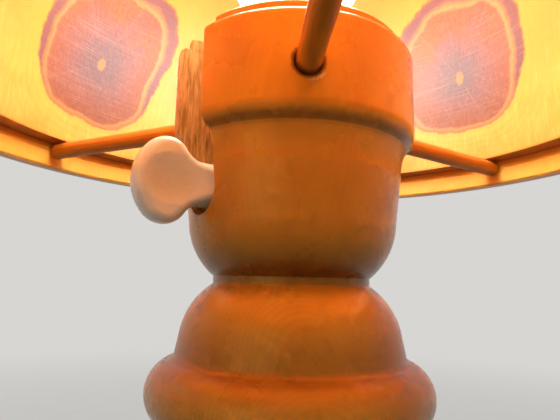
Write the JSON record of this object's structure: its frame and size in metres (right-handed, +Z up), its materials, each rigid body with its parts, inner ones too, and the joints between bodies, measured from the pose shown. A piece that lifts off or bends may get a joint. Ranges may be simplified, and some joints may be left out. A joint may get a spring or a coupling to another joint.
{
  "type": "table lamp",
  "caption": "Turned wooden table lamp: baluster column, slotted head with a key-switched lamp-holder, dowel arms and a lift-off domed wooden shade.",
  "frame": {"origin": "on the table, on the lamp's axis, at the middle of the felt's underside", "axes": "+Z up along the column; -Y to the front, the way the switch key points; +X to the right"},
  "size_m": [0.2364, 0.2364, 0.4198],
  "materials": {
    "turned_wood": "satin lacquer over orange stain, turned",
    "dowel_wood": "bare dowel, light satin",
    "shade_pine": "thin turned pine with knots, satin lacquer",
    "felt": "felt",
    "zinc_steel": "zinc plated",
    "brass_fitting": "pressed brass",
    "cream_moulding": "moulded, semi-gloss",
    "cream_key": "moulded, polished rim",
    "core_moulding": "moulded insulating block",
    "dark_plastic": "moulded",
    "frosted_glass": "frosted inside",
    "clear_glass": "clear",
    "bulb_aluminium": "rolled thread",
    "black_vitrite": "black insulator",
    "solder": "solder",
    "tungsten": "drawn wire"
  },
  "bodies": {
    "lamp": {"felt_pad": "felt", "foot": "turned_wood", "base_washer": "zinc_steel", "base_nut": "zinc_steel", "threaded_pipe": "zinc_steel", "cord_bush": "dark_plastic", "lower_column": "turned_wood", "bell_column": "turned_wood", "lamp_head": "turned_wood", "head_washer": "zinc_steel", "head_nut": "zinc_steel", "arm_front_right": "dowel_wood", "arm_back": "dowel_wood", "arm_front_left": "dowel_wood", "holder_cap": "cream_moulding", "threaded_insert": "brass_fitting", "lock_screw": "zinc_steel", "holder_core": "core_moulding", "holder_shell": "cream_moulding", "thread_sleeve": "brass_fitting", "centre_contact": "brass_fitting", "terminal_blocks": "brass_fitting", "terminal_screws": "zinc_steel", "switch_bracket": "brass_fitting", "contact_spring": "brass_fitting"},
    "switch_key": {"key_knob": "cream_key", "key_shaft": "zinc_steel", "switch_rotor": "dark_plastic"},
    "shade": {"shade": "shade_pine"},
    "bulb": {"bulb_glass": "frosted_glass", "bulb_cap": "bulb_aluminium", "bulb_insulator": "black_vitrite", "bulb_contact": "solder", "bulb_stem": "clear_glass", "bulb_filament": "tungsten"}
  },
  "joints": [
    {"name": "key_turn", "type": "hinge", "parent": "lamp", "child": "switch_key", "pos_m": [0, 0, 0.2485], "axis": [0, -1, 0], "continuous": true},
    {"name": "shade_lift", "type": "slide", "parent": "lamp", "child": "shade", "axis": [0, 0, 1], "range_m": [0, 0.15]},
    {"name": "bulb_unscrew", "type": "slide", "parent": "lamp", "child": "bulb", "axis": [0, 0, 1], "range_m": [0, 0.03]}
  ]
}
